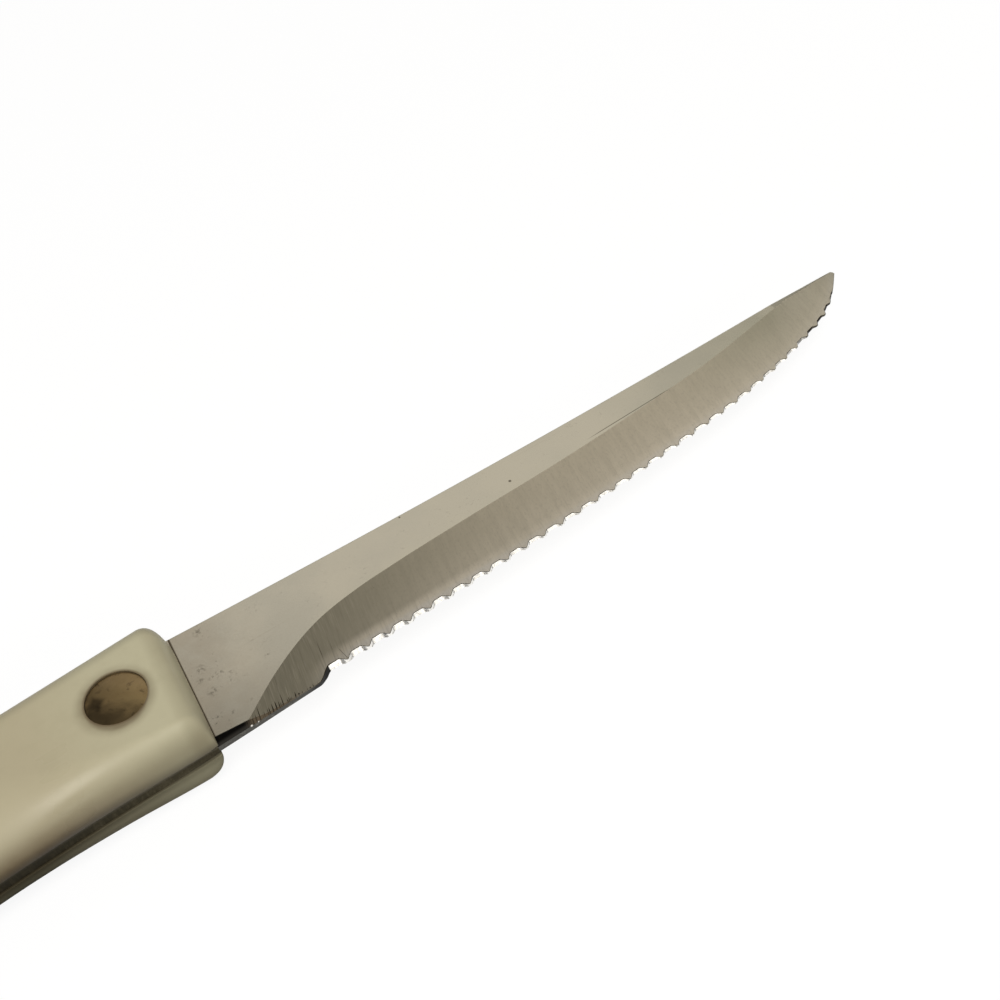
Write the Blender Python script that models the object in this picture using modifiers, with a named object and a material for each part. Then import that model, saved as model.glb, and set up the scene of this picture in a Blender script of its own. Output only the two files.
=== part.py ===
# Trimming knife: a serrated blade on a full tang between two riveted scales.
# It lies on its side, with +X to the tip, +Y to the spine and +Z up.
# Shapes are drawn from the point where the spine leaves the handle.
import bpy
import bmesh
import math
import numpy as np

MM = 0.001

# Blade
BLADE_LENGTH = 125 * MM
HEEL_DEPTH = 19.1 * MM
STOCK = 1.9 * MM
SPINE_BOW = 0.9 * MM
HEEL_LENGTH = 13.2 * MM
HEEL_TILT = 0.46 * MM
STEP_LENGTH = 2.6 * MM
NOSE_LENGTH = 6.2 * MM
TIP_ROUND = 0.2 * MM
RICASSO_RISE = 0.3 * MM
TANG_RECESS = 0.3 * MM

# Serrations, ground into the edge from the upper side
TOOTH_PITCH = 3.29 * MM
NOTCH_DEPTH = 0.8 * MM
NOTCH_DEPTH_AT_TIP = 0.55 * MM
NOTCH_SLANT_DEG = 40
FLAT_SHARE = 0.4

# Handle
HANDLE_LENGTH = 114 * MM
HANDLE_HEIGHT = 21.05 * MM
HANDLE_THICK = 13.3 * MM
HANDLE_RISE = 1.25 * MM
FRONT_SLANT = 0.076
LOWER_ROUND = 5.0 * MM
UPPER_ROUND = 3.4 * MM
FRONT_ROUND = 3.2 * MM
FRONT_SIDE = 4.9 * MM
FRONT_SQUARE = 1.35
BUTT_ROUND = 9 * MM

# Rivets, each a headed post in a headed sleeve
RIVET_RADIUS = 3.95 * MM
RIVET_HEAD = 2.0 * MM
RIVET_CROWN = 0.2 * MM
POST_RADIUS = 1.7 * MM
SLEEVE_WALL = 0.7 * MM
RIVET_FROM_FRONT = 9.15 * MM
RIVET_FROM_BUTT = 28.9 * MM
RIVET_LEVEL = 0.52
RIVET_NAMES = ("front", "middle", "rear")

# Clearances
GAP = 0.3 * MM
RIVET_SINK = 0.05 * MM

# Outlines as rows of (share of length, share of height or thickness)
SPINE_LEVEL_AT = 0.92
EDGE = np.array([
    (0.08, 0.945), (0.36, 0.898), (0.6, 0.801), (0.76, 0.678), (0.864, 0.518), (0.944, 0.314),
    (0.985, 0.105), (1, 0.005)])
GRIND = np.array([
    (0.0264, 0.966), (0.072, 0.754), (0.136, 0.545), (0.224, 0.46), (0.48, 0.351),
    (0.72, 0.249), (0.896, 0.052)])
EDGE_LEFT = np.array([
    (0.0264, 0.53), (0.05, 0.44), (0.107, 0.34), (0.15, 0.3), (0.36, 0.17), (0.56, 0.13), (1, 0.11)])
TIP_THIN_FROM = 0.88
TIP_THICK = 0.34
TIP_MARGIN = 0.08
TOP = np.array([
    (-1, -0.464), (-0.807, -0.337), (-0.544, -0.219), (-0.281, -0.118), (0, 0)])
BELLY = np.array([
    (-1, -1.376), (-0.895, -1.33), (-0.737, -1.235), (-0.526, -1.226), (-0.281, -1.045),
    (-0.123, -1), (0, -1)])
LOWER_REACH = np.array([
    (-1, 0.29), (-0.62, 0.3), (-0.42, 0.33), (-0.26, 0.5), (-0.14, 0.26), (-0.05, 0.145), (0, 0.13)])
UPPER_REACH = 0.165
FRONT_TOP_DROP = 1.4
FRONT_BELLY_RISE = 0.1
BUTT_TOP_DROP = 0.34
BUTT_BELLY_RISE = 0.29
BUTT_SIDE = 0.27
ROUND_LIMIT = 0.92

# Fineness
ROUND_STEPS = 7
TURN_STEPS = 40
STATION = 4 * MM
NOSE_STEPS = 5
HEEL_STEPS = 8
STEP_STEPS = 7
EDGE_SAMPLES = 400
SOFT_ANGLE_DEG = 40
MERGE = 0.01 * MM

# Finishes as (colour, metallic, roughness)
STEEL = ((0.66, 0.61, 0.52), 1.0, 0.3)
IVORY = ((0.5, 0.47, 0.33), 0.0, 0.3)
TARNISHED_BRASS = ((0.3, 0.23, 0.14), 1.0, 0.45)

HALF_STOCK = STOCK / 2
HALF_THICK = HANDLE_THICK / 2
SCALE_INNER = HALF_STOCK + GAP
HEAD_UNDER = HALF_THICK - RIVET_SINK - RIVET_HEAD
SEAT = HEAD_UNDER - GAP
BORE_RADIUS = POST_RADIUS + GAP
SLEEVE_RADIUS = BORE_RADIUS + SLEEVE_WALL
HOLE_RADIUS = SLEEVE_RADIUS + GAP
SEAT_RADIUS = RIVET_RADIUS + GAP
RICASSO_LENGTH = GRIND[0, 0] * BLADE_LENGTH
QUARTER = np.linspace(0, math.pi / 2, ROUND_STEPS)


# Cubic curve through a row, with each slope taken from its neighbours
def smooth(x, row):
    kx, ky = row[:, 0], row[:, 1]
    slope = np.gradient(ky, kx)
    i = np.clip(np.searchsorted(kx, x) - 1, 0, len(kx) - 2)
    w = kx[i + 1] - kx[i]
    t = (x - kx[i]) / w
    start = ky[i] * (1 + 2 * t) * (1 - t) ** 2 + w * slope[i] * t * (1 - t) ** 2
    end = ky[i + 1] * t * t * (3 - 2 * t) - w * slope[i + 1] * t * t * (1 - t)
    return start + end


# The spine bows a little and rounds over at the tip
def spine_y(x):
    if x < 0:
        return 0.0
    half = SPINE_LEVEL_AT * BLADE_LENGTH / 2
    over = min(max((x - BLADE_LENGTH) / TIP_ROUND + 1, 0), 1)
    return SPINE_BOW * ((x / half - 1) ** 2 - 1) - TIP_ROUND * (1 - math.sqrt(1 - over * over))


def edge_y(x):
    return -HEEL_DEPTH * smooth(x / BLADE_LENGTH, EDGE)


# How far the edge has climbed from the heel to the teeth, from 0 to 1
def step_share(x):
    t = min(max((x - HEEL_LENGTH) / STEP_LENGTH, 0), 1)
    return t * t * (3 - 2 * t)


# The foot of the section: a straight tilted heel, then the step, then the curve of the teeth
def foot_y(x):
    heel = HEEL_TILT * (x / HEEL_LENGTH - 0.5) - HEEL_DEPTH
    return heel + (edge_y(x) - heel) * step_share(x)


# The grind line runs level along the ricasso, climbs the blade and ends just under the spine
def grind_y(x, low):
    share = x / BLADE_LENGTH
    if share <= GRIND[0, 0]:
        return -HEEL_DEPTH * GRIND[0, 1] + RICASSO_RISE * (1 - share / GRIND[0, 0])
    top = spine_y(x)
    limit = top - TIP_MARGIN * (top - low)
    return min(limit, -HEEL_DEPTH * smooth(share, GRIND)) if share < GRIND[-1, 0] else limit


def edge_left(x):
    return HALF_STOCK * np.interp(x / BLADE_LENGTH, EDGE_LEFT[:, 0], EDGE_LEFT[:, 1])


def stock_left(x):
    share = (x / BLADE_LENGTH - TIP_THIN_FROM) / (1 - TIP_THIN_FROM)
    return HALF_STOCK * (1 - (1 - TIP_THICK) * min(max(share, 0), 1))


# Handle outline at x, with how far each end has rounded in, from 0 to 1
def handle_top(x, front, butt):
    inset = front * FRONT_ROUND * FRONT_TOP_DROP + butt * BUTT_TOP_DROP * HANDLE_HEIGHT
    return HANDLE_RISE + HANDLE_HEIGHT * smooth(x / HANDLE_LENGTH, TOP) - inset


def handle_belly(x, front, butt):
    inset = front * FRONT_ROUND * FRONT_BELLY_RISE + butt * BUTT_BELLY_RISE * HANDLE_HEIGHT
    return HANDLE_RISE + HANDLE_HEIGHT * smooth(x / HANDLE_LENGTH, BELLY) + inset


# Stations along the handle from the butt to the front, as (x, front, butt)
def handle_stations():
    rows = [(-HANDLE_LENGTH + BUTT_ROUND * (1 - math.cos(a)), 0.0, 1 - math.sin(a)) for a in QUARTER]
    first = -HANDLE_LENGTH + BUTT_ROUND
    count = round((-FRONT_ROUND - first) / STATION)
    rows += [(x, 0.0, 0.0) for x in np.linspace(first, -FRONT_ROUND, count + 1)[1:-1]]
    rows += [(-FRONT_ROUND * (1 - math.cos(a)), 1 - math.sin(a), 0.0) for a in QUARTER[::-1]]
    return rows


# One ring of the blade: spine, grind line and edge above, then the same back below
def blade_ring(x, low, upper_edge, lower_edge):
    top = spine_y(x)
    line = grind_y(x, low)
    half = stock_left(x)
    above = [(x, top, half), (x, line, half), upper_edge]
    below = [lower_edge, (x, line, -half), (x, top, -half)]
    return above + below


# A ring at a notch of a depth, which slants so that it is shallower on the lower side
def notch_ring(x, depth):
    low = foot_y(x)
    slope = (edge_y(x + MM) - edge_y(x)) / MM
    across = np.array((-slope, 1)) / math.hypot(slope, 1)
    left = edge_left(x)
    widen = (stock_left(x) - left) / (grind_y(x, low) - low)
    slant = math.tan(math.radians(NOTCH_SLANT_DEG))
    upper = left + widen * depth
    shallow = max(depth - slant * (upper + left), 0) / (1 + slant * widen)
    upper_edge = (x + across[0] * depth, low + across[1] * depth, upper)
    lower_edge = (x + across[0] * shallow, low + across[1] * shallow, -left - widen * shallow)
    return blade_ring(x, low, upper_edge, lower_edge)


def tang_rings():
    rings = []
    for x, front, butt in handle_stations():
        if x > -2 * FRONT_ROUND:
            continue
        x += TANG_RECESS * butt
        top = handle_top(x, front, butt) - TANG_RECESS
        low = handle_belly(x, front, butt) + TANG_RECESS
        line = low + (top - low) * (1 - GRIND[0, 1])
        ring = [(y, HALF_STOCK) for y in (top, line, low)]
        ring += [(y, -HALF_STOCK) for y in (low, line, top)]
        rings.append([(x + FRONT_SLANT * y, y, z) for y, z in ring])
    return rings


def heel_rings():
    heel = np.linspace(RICASSO_LENGTH, HEEL_LENGTH, HEEL_STEPS)
    step = np.linspace(HEEL_LENGTH, HEEL_LENGTH + STEP_LENGTH, STEP_STEPS)[1:]
    return [notch_ring(x, NOTCH_DEPTH * step_share(x)) for x in (-FRONT_ROUND / 2, *heel, *step)]


# Notches of one pitch each, spaced along the curve of the edge
def tooth_rings():
    xs = np.linspace(HEEL_LENGTH + STEP_LENGTH, BLADE_LENGTH - NOSE_LENGTH, EDGE_SAMPLES)
    along = np.concatenate(([0], np.cumsum(np.hypot(np.diff(xs), np.diff(edge_y(xs))))))
    flank = (1 - FLAT_SHARE) / 2
    count = round(along[-1] / TOOTH_PITCH - 1 + flank)
    corners = [(FLAT_SHARE, 1), (FLAT_SHARE + flank, 0)]
    for k in range(count):
        start = FLAT_SHARE + flank + k
        corners += [(start + flank, 1), (start + flank + FLAT_SHARE, 1), (start + 1, 0)]
    rings = []
    for place, cut in corners:
        share = place / corners[-1][0]
        depth = NOTCH_DEPTH + (NOTCH_DEPTH_AT_TIP - NOTCH_DEPTH) * share
        rings.append(notch_ring(np.interp(share * along[-1], along, xs), cut * depth))
    return rings


def nose_rings():
    xs = np.linspace(BLADE_LENGTH - NOSE_LENGTH, BLADE_LENGTH - TIP_ROUND, NOSE_STEPS)[1:]
    over = BLADE_LENGTH - TIP_ROUND * (1 - np.sin(QUARTER[2::2]))
    return [notch_ring(x, 0) for x in (*xs, *over)]


def scale_rings(side):
    rings = []
    for x, front, butt in handle_stations():
        top = handle_top(x, front, butt)
        low = handle_belly(x, front, butt)
        shrink = (top - low) / (handle_top(x, 0, 0) - handle_belly(x, 0, 0))
        outer = HALF_THICK - front ** FRONT_SQUARE * FRONT_SIDE - butt * BUTT_SIDE * HANDLE_THICK
        limit = ROUND_LIMIT * (outer - SCALE_INNER)
        lower = min(LOWER_ROUND, limit)
        upper = min(UPPER_ROUND, limit)
        lower_reach = shrink * HANDLE_HEIGHT * smooth(x / HANDLE_LENGTH, LOWER_REACH)
        upper_reach = shrink * HANDLE_HEIGHT * UPPER_REACH
        along = 1 - np.cos(QUARTER)
        out = 1 - np.sin(QUARTER)
        ring = [(low, SCALE_INNER), *zip(low + lower_reach * along, outer - lower * out)]
        ring += [*zip((top - upper_reach * along)[::-1], (outer - upper * out)[::-1]), (top, SCALE_INNER)]
        rings.append([(x + FRONT_SLANT * y, y, side * z) for y, z in ring])
    return rings


def finish(name, color, metallic, roughness):
    material = bpy.data.materials.new(name + "_finish")
    material.use_nodes = True
    shader = material.node_tree.nodes["Principled BSDF"]
    shader.inputs["Base Color"].default_value = (*color, 1)
    shader.inputs["Metallic"].default_value = metallic
    shader.inputs["Roughness"].default_value = roughness
    return material


def add(name, mesh, group, place=(0, 0, 0)):
    thing = bpy.data.objects.new(name, mesh)
    thing.location = place
    thing.parent = frame
    group.objects.link(thing)
    return thing


# A skin over rings of equal count, closed at both ends
def loft(name, rings):
    count = len(rings[0])
    faces = [tuple(range(count))]
    for k in range(len(rings) - 1):
        for j in range(count):
            a = k * count + j
            b = k * count + (j + 1) % count
            faces.append((a, b, b + count, a + count))
    faces.append(tuple(range(len(rings) * count - count, len(rings) * count)))
    mesh = bpy.data.meshes.new(name)
    mesh.from_pydata([p for ring in rings for p in ring], [], faces)
    work = bmesh.new()
    work.from_mesh(mesh)
    bmesh.ops.recalc_face_normals(work, faces=work.faces)
    work.to_mesh(mesh)
    work.free()
    return add(name, mesh, knife)


# A profile of (radius, height), top to bottom on its outer side, turned about an upright axis
def turned(name, profile, place, group):
    mesh = bpy.data.meshes.new(name)
    mesh.from_pydata([(r, 0, z) for r, z in profile], [(i, i + 1) for i in range(len(profile) - 1)], [])
    thing = add(name, mesh, group, place)
    screw = thing.modifiers.new("turn", "SCREW")
    screw.axis = "Z"
    screw.steps = TURN_STEPS
    screw.render_steps = TURN_STEPS
    screw.use_merge_vertices = True
    screw.merge_threshold = MERGE
    screw.use_smooth_shade = True
    return thing


def soften(thing):
    thing.data.shade_smooth()
    thing.data.set_sharp_from_angle(angle=math.radians(SOFT_ANGLE_DEG))


# The domed top of a rivet head, from its middle out to the rim
def crown():
    top = HALF_THICK - RIVET_SINK
    return [(RIVET_RADIUS * t, top - RIVET_CROWN * t * t) for t in np.linspace(0, 1, ROUND_STEPS)]


def post_profile():
    end = SEAT - GAP
    return crown() + [(RIVET_RADIUS, HEAD_UNDER), (POST_RADIUS, HEAD_UNDER), (POST_RADIUS, -end), (0, -end)]


def sleeve_profile():
    bore = [(0, -SEAT), (BORE_RADIUS, -SEAT), (BORE_RADIUS, SEAT), (SLEEVE_RADIUS, SEAT)]
    head = [(SLEEVE_RADIUS, -HEAD_UNDER), (RIVET_RADIUS, -HEAD_UNDER)]
    return bore + head + [(r, -z) for r, z in crown()[::-1]]


# The hole for one rivet through the whole stack, with a seat at each end
def hole_profile():
    beyond = HALF_THICK + SEAT
    upper = [(0, beyond), (SEAT_RADIUS, beyond), (SEAT_RADIUS, SEAT), (HOLE_RADIUS, SEAT)]
    return upper + [(r, -z) for r, z in upper[::-1]]


for old in list(bpy.data.objects):
    bpy.data.objects.remove(old, do_unlink=True)

knife = bpy.data.collections.new("trimming_knife")
cutters = bpy.data.collections.new("cutters")
bpy.context.scene.collection.children.link(knife)
bpy.context.scene.collection.children.link(cutters)
cutters.hide_render = True

# Rivet places along the handle
rivet_xs = np.linspace(-RIVET_FROM_FRONT, RIVET_FROM_BUTT - HANDLE_LENGTH, len(RIVET_NAMES))


def level(x):
    low = handle_belly(x, 0, 0)
    return low + RIVET_LEVEL * (handle_top(x, 0, 0) - low)


# The frame stands on the flat of the lower scale, midway between the first two rivets
rest_x = (rivet_xs[0] + rivet_xs[1]) / 2
flat_low = handle_belly(rest_x, 0, 0) + HANDLE_HEIGHT * smooth(rest_x / HANDLE_LENGTH, LOWER_REACH)
flat_top = handle_top(rest_x, 0, 0) - HANDLE_HEIGHT * UPPER_REACH
rest_y = (flat_low + flat_top) / 2
frame = bpy.data.objects.new("knife_frame", None)
frame.location = (-rest_x - FRONT_SLANT * rest_y, -rest_y, HALF_THICK)
knife.objects.link(frame)

blade = loft("blade", tang_rings() + heel_rings() + tooth_rings() + nose_rings())
blade.data.materials.append(finish("blade", *STEEL))

scales = [loft("upper_scale", scale_rings(1)), loft("lower_scale", scale_rings(-1))]
for scale in scales:
    scale.data.materials.append(finish(scale.name, *IVORY))
    soften(scale)

for name, x in zip(RIVET_NAMES, rivet_xs):
    place = (x, level(x), 0)
    for kind, profile in (("post", post_profile()), ("sleeve", sleeve_profile())):
        rivet = turned(name + "_rivet_" + kind, profile, place, knife)
        rivet.data.materials.append(finish(rivet.name, *TARNISHED_BRASS))
    cutter = turned(name + "_rivet_hole", hole_profile(), place, cutters)
    cutter.hide_render = True
    cutter.display_type = "WIRE"
    for thing in [blade] + scales:
        cut = thing.modifiers.new(cutter.name, "BOOLEAN")
        cut.operation = "DIFFERENCE"
        cut.solver = "EXACT"
        cut.object = cutter
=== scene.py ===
import bpy
import bmesh
import math
import numpy as np
from mathutils import Matrix, Vector


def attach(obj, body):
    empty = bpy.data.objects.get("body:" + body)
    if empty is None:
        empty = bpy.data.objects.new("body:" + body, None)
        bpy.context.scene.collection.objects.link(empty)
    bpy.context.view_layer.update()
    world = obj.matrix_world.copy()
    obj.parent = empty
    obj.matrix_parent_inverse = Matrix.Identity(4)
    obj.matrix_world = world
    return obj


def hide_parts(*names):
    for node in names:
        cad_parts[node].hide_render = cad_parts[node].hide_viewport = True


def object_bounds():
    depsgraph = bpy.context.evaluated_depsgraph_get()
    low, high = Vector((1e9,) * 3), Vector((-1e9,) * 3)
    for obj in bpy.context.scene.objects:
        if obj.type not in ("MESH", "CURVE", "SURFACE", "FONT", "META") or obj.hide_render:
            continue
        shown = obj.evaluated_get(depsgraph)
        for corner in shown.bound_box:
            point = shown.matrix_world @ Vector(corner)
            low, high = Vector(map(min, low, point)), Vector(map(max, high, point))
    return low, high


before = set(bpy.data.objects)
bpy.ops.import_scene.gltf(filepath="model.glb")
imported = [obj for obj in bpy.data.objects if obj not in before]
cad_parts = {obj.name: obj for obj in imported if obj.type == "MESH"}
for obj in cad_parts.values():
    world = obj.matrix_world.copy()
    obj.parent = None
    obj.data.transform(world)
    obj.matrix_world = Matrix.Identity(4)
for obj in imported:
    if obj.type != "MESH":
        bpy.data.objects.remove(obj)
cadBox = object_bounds()
mm = 0.001
quarter = np.pi / 2
joint = np.array((28.693, 7.306, 6.65)) * mm  # where the spine leaves the handle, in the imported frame
print("frame loaded:", len(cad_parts), "nodes")


# Cubic curve through a row of (place, value): the slope at each point comes from its two neighbours.
def smoothRow(place, row):
    kx, ky = np.array(row).T
    slope = np.gradient(ky, kx)
    i = np.clip(np.searchsorted(kx, place) - 1, 0, len(kx) - 2)
    w = kx[i + 1] - kx[i]
    t = (place - kx[i]) / w
    start = ky[i] * (1 + 2 * t) * (1 - t) ** 2 + w * slope[i] * t * (1 - t) ** 2
    return start + ky[i + 1] * t * t * (3 - 2 * t) - w * slope[i + 1] * t * t * (1 - t)


def smoothStep(t):
    t = np.clip(t, 0, 1)
    return t * t * (3 - 2 * t)


# Links a mesh as a piece, with one (u, v) for each vertex as its pattern map where one is given.
def addPiece(name, mesh, uvName="", uv=None):
    if uv is not None:
        corner = np.zeros(len(mesh.loops), np.int32)
        mesh.loops.foreach_get("vertex_index", corner)
        layer = mesh.uv_layers.new(name=uvName)
        layer.data.foreach_set("uv", uv[corner].astype(np.float32).ravel())
    piece = bpy.data.objects.new(name, mesh)
    bpy.context.scene.collection.objects.link(piece)
    return piece


# The faces between n rings of m points, numbered ring after ring; each ring closes on itself.
def ringFaces(n, m):
    i, j = np.meshgrid(np.arange(n - 1), np.arange(m), indexing="ij")
    k = (j + 1) % m
    return np.stack((i * m + j, i * m + k, (i + 1) * m + k, (i + 1) * m + j), -1).reshape(-1, 4)


# Skin over a grid of points[station, place round the section]; the section closes on itself
# and a flat face closes each end. zones gives a material number for each face, caps for the two ends.
def skin(name, points, uvName, uv, zones=None, caps=()):
    n, m = points.shape[:2]
    ends = [list(range(m))[::-1], list(range((n - 1) * m, n * m))]
    mesh = bpy.data.meshes.new(name)
    inside = np.clip(points + joint, *np.array(cadBox))
    mesh.from_pydata(inside.reshape(-1, 3), [], ringFaces(n, m).tolist() + ends)
    if zones is not None:
        number = np.concatenate((zones.ravel(), caps))
        mesh.polygons.foreach_set("material_index", number.astype(np.int32))
    return addPiece(name, mesh, uvName, uv.reshape(-1, 2))


# Turns faces outward, shades smooth and keeps edges over an angle, and the given section places, crisp.
def settle(piece, angle, crispRows=(), rowCount=1):
    mesh = piece.data
    work = bmesh.new()
    work.from_mesh(mesh)
    bmesh.ops.recalc_face_normals(work, faces=work.faces)
    work.to_mesh(mesh)
    work.free()
    mesh.shade_smooth()
    mesh.set_sharp_from_angle(angle=math.radians(angle))
    if len(crispRows):
        pairs = np.zeros(len(mesh.edges) * 2, np.int32)
        mesh.edges.foreach_get("vertices", pairs)
        rows = pairs.reshape(-1, 2) % rowCount
        crisp = np.zeros(len(mesh.edges), bool)
        sharp = mesh.attributes["sharp_edge"]
        sharp.data.foreach_get("value", crisp)
        crisp |= (rows[:, 0] == rows[:, 1]) & np.isin(rows[:, 0], crispRows)
        sharp.data.foreach_set("value", crisp)


handle = dict(
    length=114 * mm, height=21.05 * mm, thick=13.3 * mm, rise=1.25 * mm, slant=0.076,
    lowerRound=5.0 * mm, upperRound=3.4 * mm, roundLimit=0.92, upperReach=0.165,
    frontRound=3.2 * mm, frontSide=4.9 * mm, frontSquare=1.35, frontTopDrop=1.4, frontBellyRise=0.1,
    buttRound=9 * mm, buttTopDrop=0.34, buttBellyRise=0.29, buttSide=0.27,
    seam=0.03 * mm, innerEdge=0.12 * mm, lip=0.5 * mm,
    # curves from butt to front: share of the length, then share of the height
    top=[(-1, -0.464), (-0.807, -0.337), (-0.544, -0.219), (-0.281, -0.118), (0, 0)],
    belly=[(-1, -1.376), (-0.895, -1.33), (-0.737, -1.235), (-0.526, -1.226), (-0.281, -1.045),
           (-0.123, -1), (0, -1)],
    lowerReach=[(-1, 0.29), (-0.62, 0.3), (-0.42, 0.33), (-0.26, 0.5), (-0.14, 0.26),
                (-0.05, 0.145), (0, 0.13)],
    # how fine the skin is
    station=0.8 * mm, roundSteps=22, edgeSteps=5, landSteps=14, crispDeg=40)


# Handle outline: the top and belly curves, drawn in towards each other where an end rounds off.
def handleTop(x, front, butt):
    h = handle
    inset = front * h["frontRound"] * h["frontTopDrop"] + butt * h["buttTopDrop"] * h["height"]
    return h["rise"] + h["height"] * smoothRow(x / h["length"], h["top"]) - inset


def handleBelly(x, front, butt):
    h = handle
    inset = front * h["frontRound"] * h["frontBellyRise"] + butt * h["buttBellyRise"] * h["height"]
    return h["rise"] + h["height"] * smoothRow(x / h["length"], h["belly"]) + inset


# Stations from butt to front: a quarter circle of places, an even run, and a quarter circle again.
# front and butt go from 0 on the run to 1 at each end.
def handleStations():
    h = handle
    turn = np.linspace(0, quarter, h["roundSteps"])
    rear = -h["length"] + h["buttRound"] * (1 - np.cos(turn))
    count = int((h["length"] - h["buttRound"] - h["frontRound"]) / h["station"])
    run = np.linspace(rear[-1], -h["frontRound"], count + 1)[1:-1]
    nose = -h["frontRound"] * (1 - np.cos(turn[::-1]))
    x = np.concatenate((rear, run, nose))
    front, butt = np.zeros_like(x), np.zeros_like(x)
    front[-len(nose):] = 1 - np.sin(turn[::-1])
    butt[:len(rear)] = 1 - np.sin(turn)
    return x, front, butt


blade = dict(
    length=125 * mm, heelDepth=19.1 * mm, stock=1.9 * mm, spineBow=0.9 * mm, levelAt=0.92,
    spineRound=0.16 * mm, tipRound=0.6 * mm, noseLength=6.2 * mm, heelLength=13.2 * mm, heelTilt=0.46 * mm,
    stepLength=2.6 * mm, ricassoRise=0.3 * mm, tangRecess=0.3 * mm, tangRim=0.02,
    # curves along the blade: share of the length, then share of the heel's depth
    edge=[(0.08, 0.945), (0.36, 0.898), (0.6, 0.801), (0.76, 0.678), (0.864, 0.518), (0.944, 0.319),
          (0.985, 0.109), (1, 0.02)],
    grind=[(0.0264, 0.966), (0.072, 0.754), (0.136, 0.545), (0.2, 0.457), (0.24, 0.434), (0.36, 0.395),
           (0.48, 0.368), (0.54, 0.346), (0.64, 0.294), (0.72, 0.246), (0.896, 0.052)],
    # share of the length, then share of the stock that is left at the edge
    edgeLeft=[(0.126, 0.32), (0.15, 0.3), (0.36, 0.17), (0.56, 0.13), (1, 0.11)],
    heelLeft=[(-0.02, 0.53), (0.0264, 0.5), (0.06, 0.42), (0.106, 0.36)], heelSlope=0.092,
    # share of the length, then the rim's height in mm
    rim=[(-0.02, 2.0), (0.026, 2.0), (0.0265, 0.72), (0.034, 0.5), (0.044, 0.24), (0.06, 0.17), (0.1, 0.14),
         (0.125, 0.14), (0.135, 0.08), (1, 0.07)],
    rimTilt=0.5, rimRoom=0.05 * mm, tipThinFrom=0.88, tipThick=0.34, tipMargin=0.08, tipSlope=0.105,
    pitch=3.29 * mm, notchDepth=0.8 * mm, notchAtTip=0.55 * mm, lastNotch=0.45, slantDeg=40, flatShare=0.4,
    # where finishes change: this far before the ricasso ends, and at this share of the step;
    # and the zero of the pattern map, from the butt
    ricassoSlack=0.1 * mm, heelEdgeEnd=0.86, patternStart=112 * mm,
    # how fine the skin is
    flatRows=4, bevelRows=8, rimRows=2, facetRows=3, roundRows=4, toothSteps=20, edgeSamples=2000,
    stemSteps=8, heelSteps=60, stepSteps=26, noseSteps=26, tipSteps=8, crispDeg=24)


# The spine bows a little and rounds over at the tip.
def spineY(x):
    half = blade["levelAt"] * blade["length"] / 2
    over = np.clip((x - blade["length"]) / blade["tipRound"] + 1, 0, 1)
    bow = blade["spineBow"] * ((x / half - 1) ** 2 - 1) - blade["tipRound"] * (1 - np.sqrt(1 - over * over))
    return np.where(x > 0, bow, 0.0)


def edgeY(x):
    return -blade["heelDepth"] * smoothRow(x / blade["length"], blade["edge"])


def stepShare(x):
    return smoothStep((x - blade["heelLength"]) / blade["stepLength"])


# Foot of the section: a straight tilted heel, then the step, then the curve that the teeth stand on.
def footY(x):
    heel = blade["heelTilt"] * (x / blade["heelLength"] - 0.5) - blade["heelDepth"]
    return heel + (edgeY(x) - heel) * stepShare(x)


# The grind line is level along the ricasso, climbs the blade and ends just under the spine.
def grindY(x, low):
    share, row = x / blade["length"], np.array(blade["grind"])
    level = -blade["heelDepth"] * row[0, 1] + blade["ricassoRise"] * (1 - share / row[0, 0])
    limit = spineY(x) - blade["tipMargin"] * (spineY(x) - low)
    climb = np.where(share < row[-1, 0], -blade["heelDepth"] * smoothRow(share, row), limit)
    return np.where(share <= row[0, 0], level, np.minimum(limit, climb))


def byShare(x, row):
    return np.interp(x / blade["length"], *np.array(row).T)


# Half the stock, thinned evenly over the last part of the blade.
def stockLeft(x):
    share = np.clip((x / blade["length"] - blade["tipThinFrom"]) / (1 - blade["tipThinFrom"]), 0, 1)
    return blade["stock"] / 2 * (1 - (1 - blade["tipThick"]) * share)


# Blade section at every station: spine corner, flat, grind line, bevel, the narrow rim of the edge and the
# edge itself on the near side, the slanted face of the edge, then the same places back up the far side.
def bladeSection(x, top, line, half, nearRim, nearEdge, farRim, farEdge):
    turn = np.linspace(0, quarter, blade["roundRows"])
    r = np.minimum(blade["spineRound"], 0.5 * (top - line))[:, None]

    def run(start, end, rows):
        return start[:, None] + (end - start)[:, None] * np.linspace(0, 1, rows + 1)[1:, None]

    def side(sign, rim, edge):
        corner = np.stack((x[:, None] * np.ones_like(turn), top[:, None] - r * (1 - np.cos(turn)),
                           sign * (half[:, None] - r * (1 - np.sin(turn)))), -1)
        crease = np.stack((x, line, sign * half), -1)
        return np.concatenate((corner, run(corner[:, -1], crease, blade["flatRows"]),
                               run(crease, rim, blade["bevelRows"]), run(rim, edge, blade["rimRows"])), 1)

    face = run(nearEdge, farEdge, blade["facetRows"])[:, :-1]
    return np.concatenate((side(1, nearRim, nearEdge), face, side(-1, farRim, farEdge)[:, ::-1]), 1)


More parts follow.
